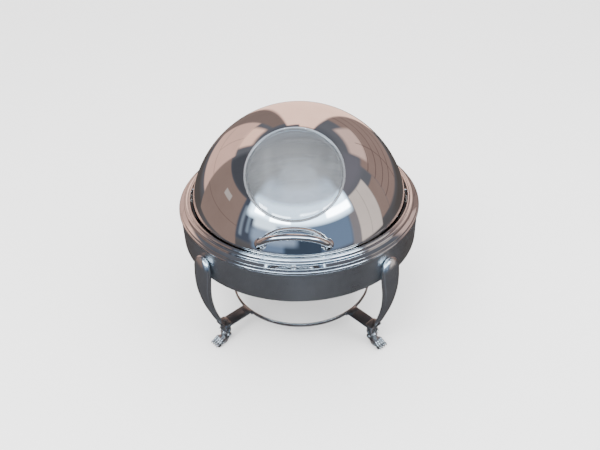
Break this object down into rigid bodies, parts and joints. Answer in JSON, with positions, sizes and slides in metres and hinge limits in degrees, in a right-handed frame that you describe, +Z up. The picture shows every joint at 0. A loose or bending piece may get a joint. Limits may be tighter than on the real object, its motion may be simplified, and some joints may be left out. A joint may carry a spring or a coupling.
{
  "type": "round roll-top chafing dish",
  "caption": "Round chafing dish with a polished roll-back dome cover, round window and bow handle over water and food pans, on a cabriole-legged stand with a burner.",
  "frame": {"origin": "on the floor under the centre of the dish", "axes": "+Z up, -Y to the front where the handle is, X along the cover's pivots"},
  "size_m": [0.48, 0.48, 0.4438],
  "materials": {
    "polished_steel": "mirror-polished stainless steel",
    "satin_steel": "satin stainless steel with a fine round grain",
    "cast_steel": "tumbled cast stainless steel, dark in the hollows",
    "pan_steel": "bright drawn stainless steel",
    "glass": "clear toughened glass",
    "rubber": "moulded black rubber",
    "nylon": "natural moulded nylon"
  },
  "bodies": {
    "stand": {"body_band": "satin_steel", "burner_strap": "satin_steel", "cover_stop_left": "rubber", "cover_stop_right": "rubber", "leg_front_left": "polished_steel", "leg_front_right": "polished_steel", "leg_rear_left": "polished_steel", "leg_rear_right": "polished_steel", "leg_screw_front_left": "polished_steel", "leg_screw_front_right": "polished_steel", "leg_screw_rear_left": "polished_steel", "leg_screw_rear_right": "polished_steel", "lower_hoop": "satin_steel", "pan_support_ring": "satin_steel", "paw_foot_front_left": "cast_steel", "paw_foot_front_right": "cast_steel", "paw_foot_rear_left": "cast_steel", "paw_foot_rear_right": "cast_steel", "pivot_bracket_left": "satin_steel", "pivot_bracket_right": "satin_steel", "pivot_pin_left": "polished_steel", "pivot_pin_right": "polished_steel", "pivot_spacer_left": "nylon", "pivot_spacer_right": "nylon", "rim_ring": "polished_steel", "rim_rivet_front": "polished_steel", "rim_rivet_rear_left": "polished_steel", "rim_rivet_rear_right": "polished_steel", "rim_tab_front": "satin_steel", "rim_tab_rear_left": "satin_steel", "rim_tab_rear_right": "satin_steel", "strap_front_left": "satin_steel", "strap_front_right": "satin_steel", "strap_rear_left": "satin_steel", "strap_rear_right": "satin_steel", "support_bracket_inner_left": "satin_steel", "support_bracket_inner_right": "satin_steel", "support_bracket_outer_left": "satin_steel", "support_bracket_outer_right": "satin_steel"},
    "roll_cover": {"dome_cover": "polished_steel", "ear_rivet_left": "polished_steel", "ear_rivet_right": "polished_steel", "handle_bar": "polished_steel", "handle_foot_left": "polished_steel", "handle_foot_right": "polished_steel", "handle_screw_left": "polished_steel", "handle_screw_right": "polished_steel", "pivot_ear_left": "satin_steel", "pivot_ear_right": "satin_steel", "window_bezel": "polished_steel", "window_glass": "glass", "window_retainer": "satin_steel"},
    "water_bath": {"water_pan": "pan_steel"},
    "food_tray": {"food_pan": "pan_steel"},
    "burner": {"fuel_cup": "satin_steel"},
    "snuffer": {"snuffer_lid": "satin_steel"}
  },
  "joints": [
    {"name": "cover_roll", "type": "hinge", "parent": "stand", "child": "roll_cover", "pos_m": [0, 0, 0.253], "axis": [-1, 0, 0], "range_deg": [0, 82]},
    {"name": "water_pan_lift", "type": "slide", "parent": "stand", "child": "water_bath", "axis": [0, 0, 1], "range_m": [0, 0.012]},
    {"name": "food_pan_lift", "type": "slide", "parent": "water_bath", "child": "food_tray", "axis": [0, 0, 1], "range_m": [0, 0.03]},
    {"name": "fuel_cup_lift", "type": "slide", "parent": "stand", "child": "burner", "axis": [0, 0, 1], "range_m": [0, 0.025]},
    {"name": "snuffer_swing", "type": "hinge", "parent": "burner", "child": "snuffer", "pos_m": [0.034, -0.018, 0.098], "axis": [0, 0, 1], "range_deg": [0, 110]}
  ]
}
